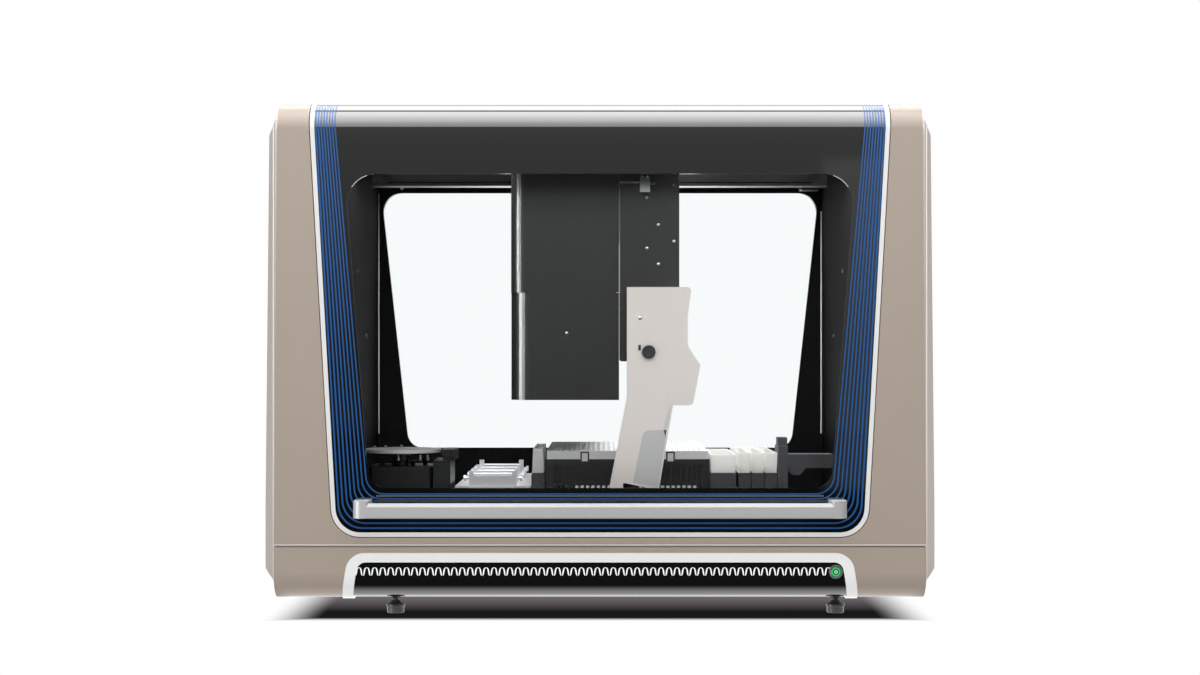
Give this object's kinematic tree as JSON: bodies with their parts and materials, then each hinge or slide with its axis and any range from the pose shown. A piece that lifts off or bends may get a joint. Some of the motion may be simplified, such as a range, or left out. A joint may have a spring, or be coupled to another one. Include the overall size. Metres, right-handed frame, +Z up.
{
  "type": "liquid handling robot",
  "caption": "Enclosed bench liquid handling robot with a lifting glazed door, a carrier deck and a gantry with a pipetting head.",
  "frame": {"origin": "on the bench below the middle of the bounding box", "axes": "+X to the right seen from the front, +Y to the rear, +Z up"},
  "size_m": [1.08, 0.79, 0.814],
  "materials": {
    "beige_paint": "satin moulded skin, warm beige grey",
    "cover_paint": "satin moulded side cover, paler beige",
    "white_trim": "smooth white trim",
    "black_panel": "high gloss black panel",
    "clear_pane": "clear pane",
    "satin_silver": "satin anodised",
    "steel": "ground steel",
    "chassis_paint": "dark powder coat",
    "deck_metal": "dark anodised deck",
    "green_button": "ring lit button",
    "foot_rubber": "black foot pads",
    "belt_rubber": "toothed belt",
    "motor_black": "black motor housings",
    "arm_grey": "dark grey moulded cover",
    "head_grey": "warm light grey cover",
    "knob_black": "black knob",
    "barrel_white": "white barrels",
    "board_green": "circuit board",
    "carrier_black": "black moulded carriers",
    "disc_grey": "turned disc",
    "clear_acrylic": "clear acrylic",
    "rack_white": "pale rack plate",
    "trough_white": "white troughs"
  },
  "bodies": {
    "housing": {"base_tray": "chassis_paint", "deck_plate": "deck_metal", "side_frames": "chassis_paint", "hinge_cross_beam": "chassis_paint", "inner_walls": "chassis_paint", "rear_wall": "chassis_paint", "rear_window": "clear_pane", "rear_cover": "beige_paint", "top_cover": "beige_paint", "front_surround": "beige_paint", "side_cover_left": "cover_paint", "side_cover_right": "cover_paint", "base_fascia": "beige_paint", "light_panel_trim": "white_trim", "light_panel": "black_panel", "button_bezel": "steel", "levelling_feet": "foot_rubber", "body_hinge_leaves": "steel", "hinge_pins": "steel", "x_beam": "satin_silver", "x_rail": "steel", "x_belt": "belt_rubber", "x_motor": "motor_black", "power_inlet": "knob_black", "power_supply": "satin_silver", "control_board": "board_green", "turntable_housing": "carrier_black", "plate_carrier": "clear_acrylic", "tip_carriers": "carrier_black", "tip_racks": "rack_white", "reagent_troughs": "trough_white", "waste_chute": "carrier_black"},
    "door": {"door_frame": "white_trim", "door_panel": "black_panel", "door_window": "clear_pane", "door_handle": "satin_silver", "door_hinge_leaves": "steel"},
    "button": {"power_button": "green_button"},
    "x_drive": {"x_drive_pulley": "steel"},
    "x_idler": {"x_idler_pulley": "steel"},
    "arm": {"x_carriage": "satin_silver", "arm_frame": "satin_silver", "arm_cover_upper": "arm_grey", "arm_cover_lower": "arm_grey", "arm_end_plate": "arm_grey", "head_cover": "head_grey", "head_side_cover": "head_grey", "home_sensor": "steel", "y_rail": "steel", "y_belt": "belt_rubber", "y_motor": "motor_black"},
    "knob": {"lock_knob": "knob_black"},
    "y_drive": {"y_drive_pulley": "steel"},
    "y_idler": {"y_idler_pulley": "steel"},
    "head": {"y_carriage": "satin_silver", "z_motor": "motor_black"},
    "screw": {"z_screw": "steel"},
    "channels": {"z_carriage": "satin_silver", "pipette_barrels": "barrel_white"},
    "turntable": {"turntable_disc": "disc_grey"}
  },
  "joints": [
    {"name": "door_hinge", "type": "hinge", "parent": "housing", "child": "door", "pos_m": [0, -0.217, 0.806], "axis": [-1, 0, 0], "range_deg": [0, 75]},
    {"name": "x_slide", "type": "slide", "parent": "housing", "child": "arm", "axis": [1, 0, 0], "range_m": [-0.28, 0.262]},
    {"name": "x_drive_spin", "type": "hinge", "parent": "housing", "child": "x_drive", "pos_m": [0.41, 0.273, 0.758], "axis": [0, 1, 0], "range_deg": [-1646.4, 1540.6]},
    {"name": "x_idler_spin", "type": "hinge", "parent": "housing", "child": "x_idler", "pos_m": [-0.41, 0.273, 0.758], "axis": [0, 1, 0], "range_deg": [-1646.4, 1540.6]},
    {"name": "y_slide", "type": "slide", "parent": "arm", "child": "head", "axis": [0, 1, 0], "range_m": [0, 0.42]},
    {"name": "y_drive_spin", "type": "hinge", "parent": "arm", "child": "y_drive", "pos_m": [0.03, 0.228, 0.64], "axis": [-1, 0, 0], "range_deg": [-1, 2469.1]},
    {"name": "y_idler_spin", "type": "hinge", "parent": "arm", "child": "y_idler", "pos_m": [0.03, -0.222, 0.64], "axis": [-1, 0, 0], "range_deg": [-1, 2469.1]},
    {"name": "z_slide", "type": "slide", "parent": "head", "child": "channels", "axis": [0, 0, 1], "range_m": [-0.1, 0.04]},
    {"name": "z_screw_spin", "type": "hinge", "parent": "head", "child": "screw", "pos_m": [0.0685, -0.222, 0.5], "axis": [0, 0, 1], "range_deg": [-3601, 1441]},
    {"name": "button_press", "type": "slide", "parent": "housing", "child": "button", "axis": [0, 1, 0], "range_m": [0, 0.003], "stiffness_N_per_m": 400, "springref_m": -0.001},
    {"name": "knob_turn", "type": "hinge", "parent": "arm", "child": "knob", "pos_m": [0.0786, -0.29, 0.419], "axis": [0, 1, 0], "range_deg": [0, 90]},
    {"name": "turntable_spin", "type": "hinge", "parent": "housing", "child": "turntable", "pos_m": [-0.337, -0.105, 0.2], "axis": [0, 0, 1], "continuous": true}
  ],
  "couplings": [
    {"joint": "x_drive_spin", "follows": "x_slide", "rad_per_m": 102.56},
    {"joint": "x_idler_spin", "follows": "x_slide", "rad_per_m": 102.56},
    {"joint": "y_drive_spin", "follows": "y_slide", "rad_per_m": 102.56},
    {"joint": "y_idler_spin", "follows": "y_slide", "rad_per_m": 102.56},
    {"joint": "z_screw_spin", "follows": "z_slide", "rad_per_m": 628.32}
  ]
}
